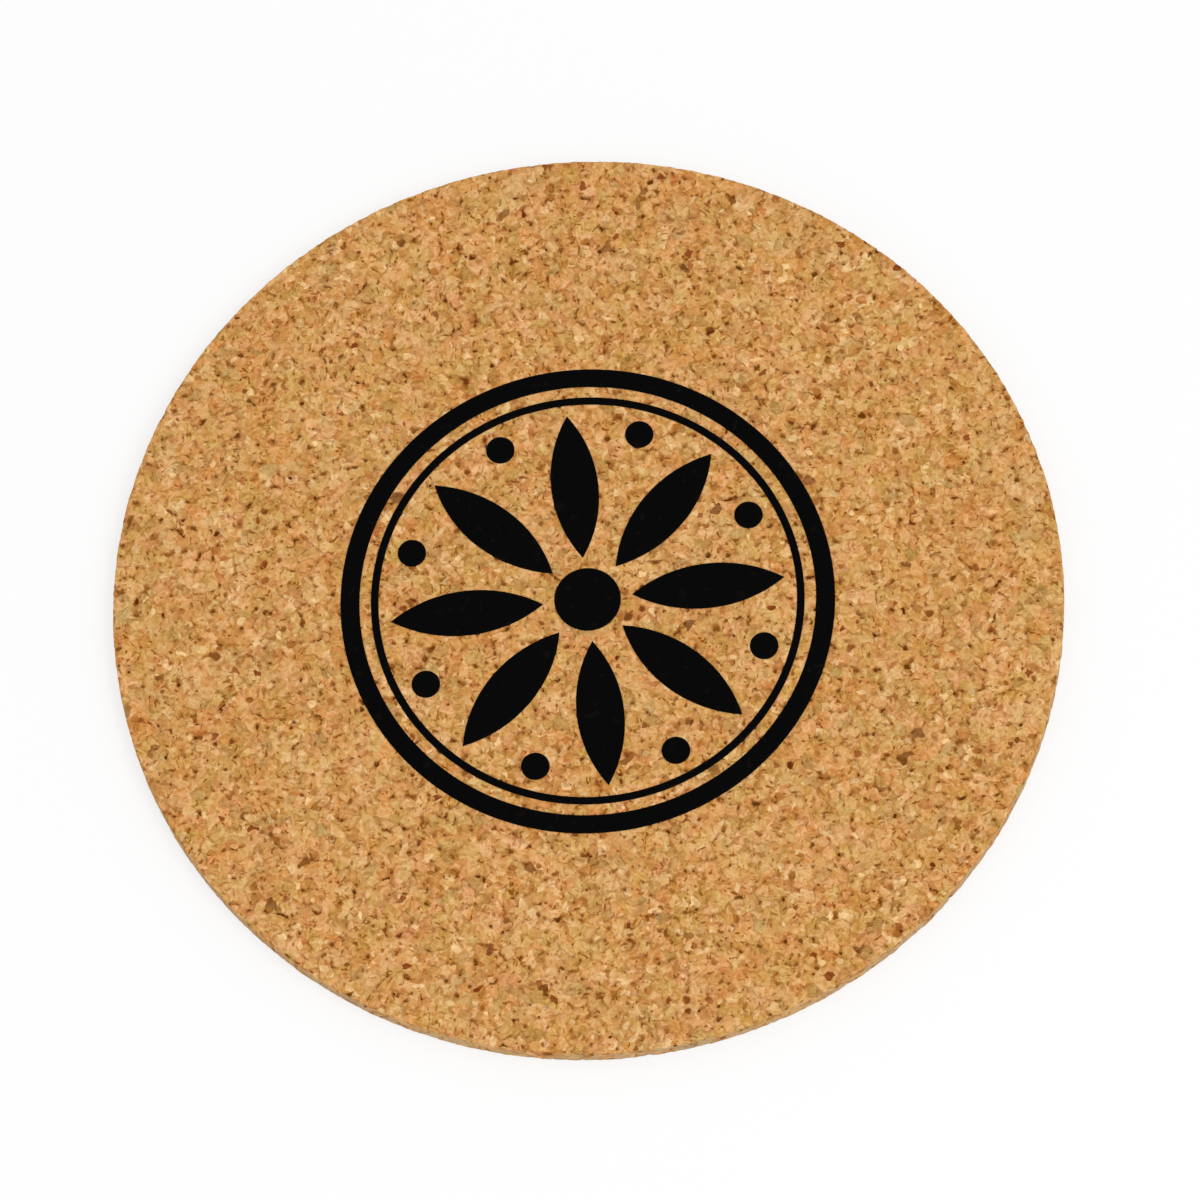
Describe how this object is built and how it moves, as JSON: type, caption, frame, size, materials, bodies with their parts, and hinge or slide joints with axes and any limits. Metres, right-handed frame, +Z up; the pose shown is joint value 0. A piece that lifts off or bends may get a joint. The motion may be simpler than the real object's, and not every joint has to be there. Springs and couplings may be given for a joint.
{
  "type": "cork coaster",
  "caption": "Round flat coaster die-cut from pressed cork granules, with a black rosette printed on its top face. It lies on a table and carries a cup or glass.",
  "frame": {"origin": "middle of the underside, on the plane the coaster rests on", "axes": "+Z up through the disc's axis, from the underside to the printed face; +X along the middle of one petal of the print"},
  "size_m": [0.1, 0.1, 0.0026],
  "materials": {
    "cork": "bare pressed cork, matte",
    "ink": "matte black printing ink"
  },
  "bodies": {
    "root": {"cork_disc": "cork", "print_ring_outer": "ink", "print_ring_inner": "ink", "print_hub": "ink", "print_petal_1": "ink", "print_petal_2": "ink", "print_petal_3": "ink", "print_petal_4": "ink", "print_petal_5": "ink", "print_petal_6": "ink", "print_petal_7": "ink", "print_petal_8": "ink", "print_dot_1": "ink", "print_dot_2": "ink", "print_dot_3": "ink", "print_dot_4": "ink", "print_dot_5": "ink", "print_dot_6": "ink", "print_dot_7": "ink", "print_dot_8": "ink"}
  },
  "joints": []
}
